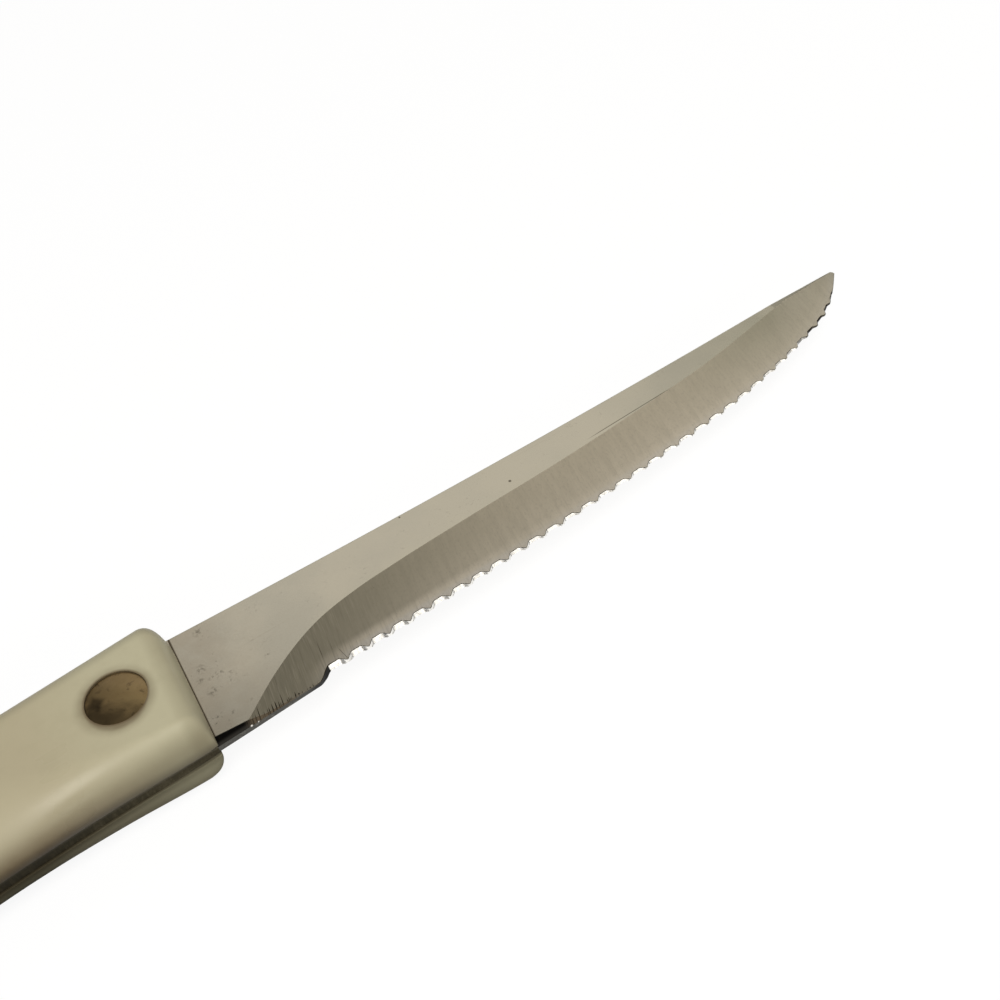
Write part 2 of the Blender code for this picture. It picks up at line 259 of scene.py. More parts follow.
# Depth of the notches along the edge: a flat bottom and two flanks in each pitch, so depth is a clipped
# triangle wave of the distance along the edge with its corners eased, and gets less towards the tip,
# where one last shallow notch follows.
def notchStations():
    xs = np.linspace(blade["heelLength"] + blade["stepLength"], blade["length"], blade["edgeSamples"])
    along = np.concatenate(([0], np.cumsum(np.hypot(np.diff(xs), np.diff(edgeY(xs))))))
    full = np.interp(blade["length"] - blade["noseLength"], xs, along)
    flank = (1 - blade["flatShare"]) / 2
    count = round(full / blade["pitch"] - 1 + flank)
    first = blade["flatShare"] + flank  # the row starts in the flat of its first notch
    total = first + count
    ends = (0, flank, 1 - flank, 1)
    steps = blade["toothSteps"] // 3 + 1
    cell = np.concatenate([np.linspace(a, b, steps)[:-1] for a, b in zip(ends, ends[1:])])
    place = (np.arange(-1, count + 1)[:, None] + cell + first).ravel()
    place = np.append(place[place >= 0], total + 1)
    phase = (place - first) % 1
    phase[-1] = 1
    cut = np.clip(np.minimum(phase, 1 - phase) / flank, 0, 1)
    cut = 0.5 * cut + 0.5 * smoothStep(cut)
    share = place / total
    depth = blade["notchDepth"] + (blade["notchAtTip"] - blade["notchDepth"]) * share
    depth = np.where(share > 1, blade["lastNotch"] * depth, depth)
    return np.interp(share * full, along, xs), cut * depth


# The tang is the blade's section stretched between the handle's top and belly, a little inside both.
def tangPoints():
    x, front, butt = handleStations()
    keep = x <= -2 * handle["frontRound"]
    x, front, butt = x[keep], front[keep], butt[keep]
    x = x + blade["tangRecess"] * butt
    top = handleTop(x, front, butt) - blade["tangRecess"]
    low = handleBelly(x, front, butt) + blade["tangRecess"]
    line = low + (top - low) * (1 - blade["grind"][0][1])
    half = np.full_like(x, blade["stock"] / 2)
    near, far = np.stack((x, low, half), -1), np.stack((x, low, -half), -1)
    up = np.stack((0 * x, blade["tangRim"] * (top - low), 0 * x), -1)
    tang = bladeSection(x, top, line, half, near + up, near, far + up, far)
    tang[..., 0] += handle["slant"] * tang[..., 1]
    return tang


# Each side of the blade is one ground plane from the grind line down: z falls evenly with y. The rim turns
# in from that plane at the edge. A notch goes in square to the edge, and by its slant less on the far side.
def bladePoints():
    b = blade
    end = b["length"] - b["tipRound"]
    ricasso = b["grind"][0][0] * b["length"]
    notch, depth = notchStations()
    stem = np.linspace(-handle["frontRound"] / 2, ricasso, b["stemSteps"])
    heel = np.linspace(ricasso, b["heelLength"], b["heelSteps"])[1:]
    step = np.linspace(b["heelLength"], b["heelLength"] + b["stepLength"], b["stepSteps"])[1:-1]
    nose = np.linspace(notch[-1], end, b["noseSteps"])[1:]
    over = end + b["tipRound"] * np.sin(np.linspace(0, quarter, b["tipSteps"])[1:])
    x = np.concatenate((stem, heel, step, notch, nose, over))
    rise = stepShare(x)
    lead = len(stem) + len(heel) + len(step)
    cut = b["notchDepth"] * rise
    cut[lead:] = 0
    cut[lead:lead + len(notch)] = depth
    low, half = footY(x), stockLeft(x)
    line = grindY(x, low)
    left = b["stock"] / 2 * byShare(x, b["edgeLeft"])
    half = np.where(rise < 1, half, np.minimum(half, left + b["tipSlope"] * (line - low)))
    widen = np.where(rise < 1, b["heelSlope"], (half - left) / (line - low))
    rim = np.minimum(byShare(x, b["rim"]) * mm, line - low - np.minimum(b["rimRoom"], 0.5 * (line - low)))
    slope = np.where(cut > 0, (edgeY(x + mm / 10) - edgeY(x)) * 10 / mm, 0)  # over a tenth of a mm
    size = np.hypot(slope, 1)
    strip = b["stock"] / 2 * byShare(x, b["heelLeft"])

    def edgeAt(cut):
        plane = half - widen * (line - low - cut)
        z = strip + (plane - b["rimTilt"] * rim - strip) * rise
        spot = np.stack((x - slope / size * cut, low + cut / size, z), -1)
        return spot, spot + np.stack((0 * x, rim, plane + widen * rim - z), -1)

    slant = math.tan(math.radians(b["slantDeg"]))
    nearEdge, nearRim = edgeAt(cut)
    thick = nearEdge[:, 2] + edgeAt(0 * x)[0][:, 2]
    farEdge, farRim = edgeAt(np.maximum(cut - slant * thick, 0) / (1 + slant * widen))
    flip = np.array((1, 1, -1))
    shape = bladeSection(x, spineY(x), line, half, nearRim, nearEdge, farRim * flip, farEdge * flip)
    return shape, low, cut


# Number of the finish on each part of the blade.
zone = dict(flat=0, bevel=1, rim=2, notchFace=3, heelEdge=4, tang=5, spine=6)


def makeBlade():
    tang = tangPoints()
    shape, low, cut = bladePoints()
    points = np.concatenate((tang, shape))
    n, m = points.shape[:2]
    corner = blade["roundRows"] - 1
    crease = corner + blade["flatRows"]
    rim = crease + blade["bevelRows"]
    edge = rim + blade["rimRows"]
    zones = np.full((n - 1, m), zone["flat"])
    for first, last, kind in ((crease, rim, "bevel"), (rim, edge, "rim")):
        zones[:, first:last] = zone[kind]
        zones[:, m - 1 - last:m - 1 - first] = zone[kind]
    zones[:, edge:m - 1 - edge] = zone["notchFace"]
    x = points[:-1, edge, 0]
    ricasso = blade["grind"][0][0] * blade["length"] - blade["ricassoSlack"]
    heelEnd = blade["heelLength"] + blade["heelEdgeEnd"] * blade["stepLength"]
    zones[np.ix_(x < ricasso, zones[0] == zone["bevel"])] = zone["flat"]
    zones[np.ix_(x < heelEnd, zones[-1] == zone["notchFace"])] = zone["heelEdge"]
    zones[:, :corner] = zone["spine"]
    zones[:, m - 1 - corner:] = zone["spine"]
    edgeRows = np.ones(m, bool)
    edgeRows[corner:crease] = False
    edgeRows[m - 1 - crease:m - 1 - corner] = False
    zones[np.ix_(np.arange(n - 1) < len(tang), edgeRows)] = zone["tang"]
    # pattern map in mm: distance along the foot of the blade, and height above the foot up the section
    foot = np.concatenate((tang[:, edge, :2], np.stack((shape[:, edge, 0], low), -1)))
    along = np.concatenate(([0], np.cumsum(np.hypot(*np.diff(foot, axis=0).T)))) - blade["patternStart"]
    step = np.linalg.norm(np.diff(points, axis=1), axis=2)
    gone = np.concatenate((np.zeros((n, 1)), np.cumsum(step, 1)), 1)
    height = np.maximum(gone[:, edge:edge + 1] - gone, gone - gone[:, m - 1 - edge:m - edge])
    height[len(tang):] += cut[:, None]
    uv = np.stack((np.broadcast_to(along[:, None], height.shape), height), -1) / mm
    piece = skin("serratedBlade", points, "grind", uv, zones, (zone["tang"], zone["bevel"]))
    crisp = np.array((corner, crease, rim, edge))
    settle(piece, blade["crispDeg"], np.concatenate((crisp, m - 1 - crisp)), m)
    return piece


# Scale section: out of the seam round the belly's edge, a quarter ellipse on to the flat land, across it,
# a tighter quarter ellipse to the top, and round the top's edge to the flat inner face.
def scalePoints(side):
    h = handle
    x, front, butt = (v[:, None] for v in handleStations())
    inner = blade["stock"] / 2 + h["seam"]
    top, low = handleTop(x, front, butt), handleBelly(x, front, butt)
    shrink = (top - low) / (handleTop(x, 0, 0) - handleBelly(x, 0, 0))
    outer = h["thick"] / 2 - front ** h["frontSquare"] * h["frontSide"] - butt * h["buttSide"] * h["thick"]
    limit = h["roundLimit"] * (outer - inner)
    lower, upper = np.minimum(h["lowerRound"], limit), np.minimum(h["upperRound"], limit)
    lowerReach = shrink * h["height"] * smoothRow(x / h["length"], h["lowerReach"])
    upperReach = shrink * h["height"] * h["upperReach"]
    e = np.minimum(h["innerEdge"], 0.5 * (1 - h["roundLimit"]) * (outer - inner))
    turn, small = np.linspace(0, quarter, h["roundSteps"]), np.linspace(0, quarter, h["edgeSteps"])
    turnBack, smallBack = turn[::-1], small[::-1]
    lowY = np.concatenate((low + e + h["lip"], low + e * (1 - np.sin(small)),
                           low + lowerReach * (1 - np.cos(turn))), 1)
    lowZ = np.concatenate((inner + 0 * x, inner + e * (1 - np.cos(small)),
                           outer - lower * (1 - np.sin(turn))), 1)
    topY = np.concatenate((top - upperReach * (1 - np.cos(turnBack)), top - e * (1 - np.sin(smallBack))), 1)
    topZ = np.concatenate((outer - upper * (1 - np.sin(turnBack)), inner + e * (1 - np.cos(smallBack))), 1)
    share = np.linspace(0, 1, h["landSteps"])[1:-1]
    landY = lowY[:, -1:] + (topY[:, :1] - lowY[:, -1:]) * share
    y = np.concatenate((lowY, landY, topY), 1)
    z = np.concatenate((lowZ, outer + 0 * landY, topZ), 1)
    points = np.stack((x + h["slant"] * y, y, side * z), -1)
    # pattern map in mm: place along the handle, and distance round the section from the belly's seam,
    # which is negative on the lip inside the seam
    gone = np.cumsum(np.linalg.norm(np.diff(points, axis=1, prepend=points[:, :1]), axis=2), 1)
    return points, np.stack((x + 0 * y, gone - gone[:, 1:2]), -1) / mm


rivet = dict(
    radius=3.95 * mm, head=2.0 * mm, crown=0.2 * mm, post=1.7 * mm, wall=0.7 * mm, fromFront=9.15 * mm,
    fromButt=28.9 * mm, level=0.52, sink=0.05 * mm, gap=0.3 * mm, rim=0.06 * mm, fit=0.02 * mm,
    names=("front", "middle", "rear"),
    # how fine the rivets are
    steps=96, domeSteps=24, rimSteps=6, crispDeg=40)


def rivetPlaces():
    x = np.linspace(-rivet["fromFront"], rivet["fromButt"] - handle["length"], len(rivet["names"]))
    low, top = handleBelly(x, 0, 0), handleTop(x, 0, 0)
    return np.stack((x, low + rivet["level"] * (top - low), 0 * x), -1)


# A profile of (radius, height) carried round an upright axis, once for each place; its first and last
# points lie on the axis and close the ends.
def turnedPiece(name, profile, places):
    profile = np.array(profile)
    body = profile[1:-1]
    m = rivet["steps"]
    a = np.linspace(0, 2 * np.pi, m, endpoint=False)
    radius, height = (v[:, None] * np.ones(m) for v in body.T)
    rings = np.stack((radius * np.cos(a), radius * np.sin(a), height), -1).reshape(-1, 3)
    poles = np.array([(0, 0, profile[0, 1]), (0, 0, profile[-1, 1])])
    spots = np.concatenate((rings, poles))
    j = np.arange(m)
    k = (j + 1) % m
    last, pole = len(rings) - m, np.full_like(j, len(rings))
    capA = np.stack((j, k, pole), -1)
    capB = np.stack((last + k, last + j, pole + 1), -1)
    faces = []
    for number in range(len(places)):
        for part in (ringFaces(len(body), m), capA, capB):
            faces += (part + number * len(spots)).tolist()
    mesh = bpy.data.meshes.new(name)
    mesh.from_pydata(np.concatenate([spots + place for place in places]) + joint, [], faces)
    return addPiece(name, mesh, "face", np.tile(spots[:, :2] / rivet["radius"], (len(places), 1)))


# Profile of a head: a shallow dome, falling with the square of the radius, and a quarter round at its rim.
def headTop():
    r = rivet
    top = handle["thick"] / 2 - r["sink"]
    t = np.linspace(0, 1, r["domeSteps"])
    rim = r["radius"] - r["rim"]
    dome = np.stack((rim * t, top - r["crown"] * (rim * t / r["radius"]) ** 2), -1)
    a = np.linspace(0, quarter, r["rimSteps"])[1:]
    edge = np.stack((rim + r["rim"] * np.sin(a), dome[-1, 1] - r["rim"] * (1 - np.cos(a))), -1)
    return np.concatenate((dome, edge))


def makeRivets():
    r = rivet
    under = handle["thick"] / 2 - r["sink"] - r["head"]
    seat = under - r["gap"]
    bore = r["post"] + r["gap"]
    tube = bore + r["wall"]
    end = seat - r["gap"]
    shank = [(r["radius"], under), (r["post"], under), (r["post"], -end), (0, -end)]
    post = np.concatenate((headTop(), shank))
    barrel = [(0, -seat), (bore, -seat), (bore, seat), (tube, seat), (tube, -under), (r["radius"], -under)]
    sleeve = np.concatenate((barrel, headTop()[::-1] * (1, -1)))
    wide, narrow = r["radius"] + r["fit"], tube + r["gap"]
    hole = [(0, 2 * under), (wide, 2 * under), (wide, seat), (narrow, seat),
            (narrow, -seat), (wide, -seat), (wide, -2 * under), (0, -2 * under)]
    places = rivetPlaces()
    pieces = []
    for name, place in zip(r["names"], places):
        for kind, profile in (("Post", post), ("Sleeve", sleeve)):
            piece = turnedPiece(name + "Rivet" + kind, profile, [place])
            settle(piece, r["crispDeg"])
            pieces.append((piece, name + "_rivet_" + kind.lower()))
    cutter = turnedPiece("rivetHoles", hole, places)
    settle(cutter, r["crispDeg"])
    return pieces, cutter


# Takes the rivet holes out of a piece, keeps its crisp edges and makes the holes' edges crisp.
def cutHoles(piece, cutter):
    cut = piece.modifiers.new("holes", "BOOLEAN")
    cut.operation = "DIFFERENCE"
    cut.solver = "EXACT"
    cut.object = cutter
    bpy.context.view_layer.update()
    done = bpy.data.meshes.new_from_object(piece.evaluated_get(bpy.context.evaluated_depsgraph_get()))
    piece.modifiers.clear()
    kept, found = np.zeros(len(done.edges), bool), np.zeros(len(done.edges), bool)
    done.attributes["sharp_edge"].data.foreach_get("value", kept)
    done.set_sharp_from_angle(angle=math.radians(rivet["crispDeg"]))
    done.attributes["sharp_edge"].data.foreach_get("value", found)
    done.attributes["sharp_edge"].data.foreach_set("value", kept | found)
    piece.data = done


rivetPieces, rivetHoles = makeRivets()
bladePiece = makeBlade()
scalePieces = []
for name, side in (("upperScale", 1), ("lowerScale", -1)):
    points, wrap = scalePoints(side)
    piece = skin(name, points, "wrap", wrap)
    settle(piece, handle["crispDeg"])
    scalePieces.append(piece)
for piece in [bladePiece] + scalePieces:
    cutHoles(piece, rivetHoles)
bpy.data.objects.remove(rivetHoles)
print("pieces made")


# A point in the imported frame, from mm ahead of the joint, above it and out from the middle of the stock.
def knifeSpot(x, y, z=0):
    return joint + np.array((x, y, z)) * mm


# Small kit for node finishes: each call adds a node, or a few, and returns an output socket. The look holds
# the tones and settings of a finish by name: a noise is scale, detail, roughness and warp, a span is from,
# to, the value at from and the value at to, and a bump is strength and distance.
class Finish:
    def __init__(self, name, metallic, look, base):
        self.made = bpy.data.materials.new(name)
        self.made.use_nodes = True
        self.tree = self.made.node_tree
        self.shader = self.tree.nodes["Principled BSDF"].inputs
        self.shader["Metallic"].default_value = metallic
        self.look = look
        self.tone = look[base]
        self.place = self.add("ShaderNodeTexCoord", {})["Object"]

    def put(self, socket, value):
        if isinstance(value, bpy.types.NodeSocket):
            self.tree.links.new(value, socket)
        else:
            socket.default_value = (*value, 1) if socket.type == "RGBA" else value

    # a new node with its inputs filled by name or number; gives back its outputs
    def add(self, kind, inputs, **settings):
        node = self.tree.nodes.new(kind)
        for key, value in settings.items():
            setattr(node, key, value)
        for key, value in inputs.items():
            self.put(node.inputs[key], value)
        return node.outputs

    def mapped(self, scale=(1, 1, 1), turn=(0, 0, 0), shift=(0, 0, 0)):
        inputs = dict(Vector=self.place, Scale=scale, Rotation=turn, Location=shift)
        return self.add("ShaderNodeMapping", inputs)["Vector"]

    def noise(self, where, scale, detail, rough=0.5, warp=0):
        inputs = dict(Vector=where, Scale=scale, Detail=detail, Roughness=rough, Distortion=warp)
        return self.add("ShaderNodeTexNoise", inputs)["Fac"]

    # a noise of the look, stretched and turned where the look's names for that follow
    def pattern(self, key, *mapping):
        where = self.mapped(*(self.look[name] for name in mapping)) if mapping else self.place
        return self.noise(where, *self.look[key])

    # value carried from one range to another, with soft or straight ends
    def span(self, value, low, high, outLow=0.0, outHigh=1.0, soft=True):
        inputs = {"Value": value, "From Min": low, "From Max": high, "To Min": outLow, "To Max": outHigh}
        kind = "SMOOTHSTEP" if soft else "LINEAR"
        return self.add("ShaderNodeMapRange", inputs, interpolation_type=kind)["Result"]

    # value carried through a span of the look
    def by(self, value, key, soft=True):
        return self.span(value, *self.look[key], soft=soft)

    def maths(self, how, a, b=0.0):
        return self.add("ShaderNodeMath", {0: a, 1: b}, operation=how)["Value"]

    def plus(self, a, b):
        return self.maths("ADD", a, b)

    def minus(self, a, b):
        return self.maths("SUBTRACT", a, b)

    def times(self, a, b):
        return self.maths("MULTIPLY", a, b)

    # the greatest of several masks
    def most(self, masks):
        top = masks[0]
        for mask in masks[1:]:
            top = self.maths("MAXIMUM", top, mask)
        return top

    # inputs 6 and 7 and output 2 are the node's colour sockets
    def mix(self, amount, a, b):
        return self.add("ShaderNodeMix", {0: amount, 6: a, 7: b}, data_type="RGBA")[2]

    # lays a tone of the look over the finish as far as a mask lets it
    def lay(self, key, mask):
        self.tone = self.mix(mask, self.tone, self.look[key])

    def parts(self, vector):
        return tuple(self.add("ShaderNodeSeparateXYZ", {0: vector}))

    # distance from a point; with deep at 0 it is measured across the knife's side only
    def ring(self, point, deep=0):
        offset = self.mapped((1, 1, deep), shift=(-point[0], -point[1], -deep * point[2]))
        return self.add("ShaderNodeVectorMath", {0: offset}, operation="LENGTH")["Value"]

    # a round spot of a radius in mm, soft over its outer half
    def spot(self, point, size, depth, deep=0):
        return self.span(self.ring(point, deep), 0.5 * size * mm, size * mm, depth, 0)

    def uv(self, name):
        return self.parts(self.add("ShaderNodeUVMap", {}, uv_map=name)["UV"])[:2]

    def pair(self, a, b):
        return self.add("ShaderNodeCombineXYZ", {0: a, 1: b})[0]

    def bump(self, height, key):
        strength, distance = self.look[key]
        inputs = dict(Height=height, Strength=strength, Distance=distance)
        last = self.shader["Normal"]
        if last.is_linked:
            inputs["Normal"] = last.links[0].from_socket
        self.put(last, self.add("ShaderNodeBump", inputs)["Normal"])

    def roughness(self, value):
        self.put(self.shader["Roughness"], value)

    def gloss(self, level):
        self.shader["Specular IOR Level"].default_value = level

    def done(self):
        self.put(self.shader["Base Color"], self.tone)
        return self.made


steelLook = dict(
    flat=(0.65, 0.6, 0.48), cool=(0.62, 0.582, 0.475), stain=(0.52, 0.455, 0.35), dim=(0.47, 0.447, 0.34),
    stainLine=(0.13, 0.11, 0.075), speck=(0.13, 0.11, 0.08), shadeAndGrime=(0.07, 0.048, 0.024),
    bevel=(0.65, 0.578, 0.44), bevelHeel=(0.35, 0.317, 0.23), bevelTip=(0.29, 0.298, 0.205),
    groove=(0.26, 0.232, 0.175), crestAndHighlight=(0.8, 0.72, 0.58), highlightBand=(0.84, 0.755, 0.605),
    spike=(0.03, 0.024, 0.015), rim=(0.035, 0.03, 0.02), nearBlack=(0.002, 0.0017, 0.0014),
    ash=(0.03, 0.028, 0.024), brown=(0.12, 0.094, 0.064), tan=(0.15, 0.135, 0.108),
    facet=(0.95, 0.93, 0.88), fleck=(0.45, 0.43, 0.39),
    heelEdge=(0.078, 0.076, 0.065), heelGlint=(0.28, 0.27, 0.24), tang=(0.057, 0.049, 0.028),
    tangRim=(0.34, 0.31, 0.23), tangTop=(0.22, 0.2, 0.15), tangGlint=(0.12, 0.104, 0.065),
    spine=(0.5, 0.49, 0.4), spineTip=(0.78, 0.77, 0.7),
    marks=[(3.8, -1.5, 0.5, 0.55), (1.6, -7.4, 0.5, 0.5), (0.8, -9.1, 0.4, 0.45), (1.4, -11.6, 0.55, 0.5),
           (9.7, -10.9, 0.3, 0.3)],  # x, y, size in mm and depth
    dots=[(53.0, -5.55, 0.3), (62.8, -7.3, 0.2), (36.35, -1.2, 0.2)],  # x, y and size in mm
    glints=[(3.22, -19.23, 0.45, 0.2), (4.21, -19.26, 0.44, 0.17)],  # x, y, z and size in mm
    scratch=((17.9, -15.5), (18.2, -18.0), 0.07), hairline=((66.5, -6.0), (86, -5.22), 0.1),
    scratchEnd=0.2, scratchCore=0.4, scratchDepth=0.8)  # a scratch is its two ends and half width in mm
# Grind marks: how far they lean, then for each kind its scale along and up the bevel, detail and roughness.
grindLook = dict(
    lean=0.21, broad=(1.1, 0.15, 3, 0.6), lines=(4.2, 0.14, 3, 0.6), fine=(9, 0.22, 3, 0.6),
    mottle=(3, 1.6, 4, 0.65), spikes=(4.2, 0.08, 1, 0.5), rim=(8, 1.5, 4, 0.7))


# Steel adds the distance ahead of the slanted front of the handle, in metres, and the marks on the blade.
class SteelFinish(Finish):
    def __init__(self, name, metallic, look, base):
        super().__init__(name, metallic, steelLook | look, base)
        x, y = self.parts(self.place)[:2]
        level = self.minus(x, self.times(y, handle["slant"]))
        self.ahead = self.minus(level, joint[0] - handle["slant"] * joint[1])

    # a span of the look along the blade
    def at(self, key, soft=True):
        return self.by(self.ahead, key, soft)

    # height above the foot in mm, and the grind marks asked for: noise that is drawn out up the bevel and
    # leans a little, so it follows the distance along the foot less a share of the height
    def grind(self, *kinds):
        u, v = self.uv("grind")
        lean = self.minus(u, self.times(v, grindLook["lean"]))
        marks = []
        for along, up, detail, rough in (grindLook[kind] for kind in kinds):
            marks.append(self.noise(self.pair(self.times(lean, along), self.times(v, up)), 1, detail, rough))
        return v, *marks

    # one thin scratch: near its line and between its ends
    def scratch(self, mark):
        a, b, half = self.look[mark]
        a, b = knifeSpot(*a)[:2], knifeSpot(*b)[:2]
        length = np.hypot(*(b - a))
        turn = -math.atan2(*(b - a)[::-1])
        x, y = self.parts(self.mapped(turn=(0, 0, turn)))[:2]
        start = Matrix.Rotation(turn, 2) @ Vector(a)
        across, along = self.maths("ABSOLUTE", self.minus(y, start[1])), self.minus(x, start[0])
        fade = self.look["scratchEnd"] * length
        ends = self.times(self.span(along, 0, fade), self.span(along, length - fade, length, 1, 0))
        core = self.look["scratchCore"] * half * mm
        return self.times(self.span(across, core, half * mm, self.look["scratchDepth"], 0), ends)

    # painted glints: bright spots on the heel's lower edge
    def glints(self):
        nicks = self.look["glints"]
        return self.most([self.spot(knifeSpot(*point), size, 1, deep=1) for *point, size in nicks])


# Spans that end in At run ahead of the handle in metres, and those that end in Up run up from the foot in mm.
flatLook = dict(
    cloud=(75, 4, 0.55), blotch=(330, 3), ragged=(2600, 3, 0.6), pits=(1900, 2, 0.6), pitGroups=(260, 2),
    coolCloud=(0.35, 0.68, 0, 0.8), stainAt=(0, 0.014, 0.7, 0), stainBlotch=(0.25, 0.7, 0.35, 1),
    dimAt=(0.07, 0.116), tipHighlightAt=(0.104, 0.112, 0, 0.32),
    fleckSpan=(0.52, 0.74), fleckAt=(0.002, 0.02, 0.3, 0.1),
    markCore=0.3, markReach=2, markBreak=(0.45, 0.6), dotDepth=0.85,
    pitSpan=(0.6, 0.68), groupSpan=(0.5, 0.6), pitAt=(0.0025, 0.008, 0.45, 0.1),
    hairs=(1, 2), hairScale=(35, 2600, 1), hairTurn=(0, 0, 0.05), hairSpan=(0.66, 0.74, 0, 0.22),
    jointShadowAt=(-0.00014, -0.00004), jointShadowEndAt=(0.00008, 0.00028, 0.92, 0),
    rough=(0.3, 0.7, 0.17, 0.23), hairBump=(0.04, 0.00002))


def flatFinish():
    f = SteelFinish("polishedFlat", 1, flatLook, "flat")
    cloud, blotch, ragged = f.pattern("cloud"), f.pattern("blotch"), f.pattern("ragged")
    f.lay("cool", f.by(cloud, "coolCloud"))
    f.lay("stain", f.times(f.at("stainAt"), f.by(blotch, "stainBlotch")))
    # painted reflection: the flat darkens from the middle towards the tip, and a painted highlight lightens
    # it near the tip
    f.lay("dim", f.at("dimAt", soft=False))
    f.lay("crestAndHighlight", f.at("tipHighlightAt"))
    f.lay("stain", f.times(f.by(ragged, "fleckSpan"), f.at("fleckAt")))
    specks = []
    for x, y, size, depth in f.look["marks"]:  # rust marks, each broken up by fine noise
        core, reach = f.look["markCore"] * size * mm, f.look["markReach"] * size * mm
        mark = f.span(f.ring(knifeSpot(x, y)), core, reach, depth, 0)
        specks.append(f.times(mark, f.by(ragged, "markBreak")))
    f.lay("speck", f.most(specks))
    for x, y, size in f.look["dots"]:
        f.lay("speck", f.spot(knifeSpot(x, y), size, f.look["dotDepth"]))
    pits = f.times(f.by(f.pattern("pits"), "pitSpan"), f.by(f.pattern("pitGroups"), "groupSpan"))
    f.lay("speck", f.times(pits, f.at("pitAt")))
    hairs = f.pattern("hairs", "hairScale", "hairTurn")
    f.lay("stain", f.by(hairs, "hairSpan"))
    f.lay("stainLine", f.scratch("hairline"))
    # painted shadow of the joint: a dark line along the handle's front
    f.lay("shadeAndGrime", f.times(f.at("jointShadowEndAt"), f.at("jointShadowAt")))  # a dark line along the handle's front
    f.roughness(f.by(cloud, "rough"))
    f.bump(hairs, "hairBump")
    return f.done()


bevelLook = dict(
    heelAt=(0.006, 0.062), tipAt=(0.078, 0.116, 0, 0.5), pointAt=(0.1215, 0.1255, 0, 0.85),
    litAt=(0.107, 0.114, 0, 0.3), litEndAt=(0.117, 0.1235, 1, 0), litUp=(2.5, 6.5, 0.45, 1),
    bandUp=(2, 8, 1, 0), bandAt=(0.01, 0.045, 0.05, 0.34),
    glowAt=(0.0115, 0.0245), glowLessAt=(0.04, 0.05, 1, 0.6), glowEndAt=(0.07, 0.11, 1, 0.35),
    glowUp=(1.5, 2.9, 1, 0), glowFootUp=(0.8, 1.7, 0.4, 0), broadSpan=(0.35, 0.7, 0, 0.12),
    linesSpan=(0.48, 0.7), linesAt=(0.013, 0.03, 0.42, 0.08), linesEndAt=(0.06, 0.1, 1, 0.5),
    fineSpan=(0.52, 0.7), fineAt=(0.013, 0.03, 0.26, 0.08),
    mottleSpan=(0.48, 0.72), mottleAt=(0.012, 0.03, 0, 0.2),
    spikeHeightAt=(0.0095, 0.0125, 2.1, 0.9), spikeThin=(0.05, 1, 0.47, 0.74), spikeSpan=(0, 0.05, 0, 0.92),
    spikeEndAt=(0.0165, 0.0175, 1, 0), rough=(0.2, 0.8, 0.27, 0.4), calmAt=(0.05, 0.095, 1, 0.25),
    linesBump=(0.15, 0.00003), fineBump=(0.15, 0.00002))


def bevelFinish():
    f = SteelFinish("groundBevel", 1, bevelLook, "bevelHeel")
    v, broad, lines, fine, mottle, streaks = f.grind("broad", "lines", "fine", "mottle", "spikes")
    # painted reflection: the bevel darkens towards the heel and the tip, with a painted highlight before the
    # tip
    f.lay("bevel", f.at("heelAt"))
    f.lay("bevelTip", f.at("tipAt"))
    f.lay("crestAndHighlight", f.times(f.times(f.at("litAt"), f.at("litEndAt")), f.by(v, "litUp")))
    f.lay("bevelTip", f.at("pointAt"))
    # painted highlight: the lower bevel is lighter, and a narrow band along the teeth lightest
    f.lay("highlightBand", f.times(f.by(v, "bandUp"), f.at("bandAt")))
    glow = f.times(f.at("glowAt"), f.times(f.at("glowLessAt"), f.at("glowEndAt")))
    f.lay("highlightBand", f.times(f.by(v, "glowUp"), glow))
    f.lay("facet", f.times(f.by(v, "glowFootUp"), glow))
    f.lay("groove", f.by(broad, "broadSpan"))
    f.lay("groove", f.times(f.times(f.by(lines, "linesSpan"), f.at("linesEndAt")), f.at("linesAt")))
    f.lay("crestAndHighlight", f.times(f.by(fine, "fineSpan"), f.at("fineAt")))
    f.lay("groove", f.times(f.by(mottle, "mottleSpan"), f.at("mottleAt")))
    # spikes: streaks of dark left by the wheel, thick at the foot and thinning out above it
    reach = f.maths("DIVIDE", v, f.at("spikeHeightAt"))
    left = f.minus(streaks, f.by(reach, "spikeThin", soft=False))
    f.lay("spike", f.times(f.by(left, "spikeSpan"), f.at("spikeEndAt")))
    f.lay("groove", f.scratch("scratch"))
    f.roughness(f.by(fine, "rough"))
    calm = f.at("calmAt")
    f.bump(f.times(lines, calm), "linesBump")
    f.bump(f.times(fine, calm), "fineBump")
    return f.done()


rimLook = dict(
    ashUp=(0.15, 0.7, 0.9, 0), markSpan=(0.55, 0.75, 0, 0.5), wornAt=(0.0038, 0.0056), tanAt=(0.009, 0.0125),
    spikeSpan=(0.46, 0.6, 0, 0.85), spikeAt=(0.009, 0.0125, 1, 0.4), rimAt=(0.0135, 0.0155),
    rough=(0.3, 0.7, 0.8, 1.0), gloss=0.05)


def rimFinish():
    f = SteelFinish("edgeRim", 0, rimLook, "nearBlack")
    v, marks, streaks = f.grind("rim", "spikes")
    f.lay("ash", f.by(v, "ashUp"))
    f.lay("spike", f.by(marks, "markSpan"))
    # ahead of the ricasso the rim is brown, and streaked like the foot of the bevel
    worn = f.mix(f.at("tanAt"), f.look["brown"], f.look["tan"])
    worn = f.mix(f.times(f.by(streaks, "spikeSpan"), f.at("spikeAt")), worn, f.look["spike"])
    f.tone = f.mix(f.at("wornAt"), f.tone, worn)
    f.lay("rim", f.at("rimAt"))
    # painted glints
    f.lay("facet", f.glints())
    f.roughness(f.by(marks, "rough"))
    f.gloss(f.look["gloss"])
    return f.done()


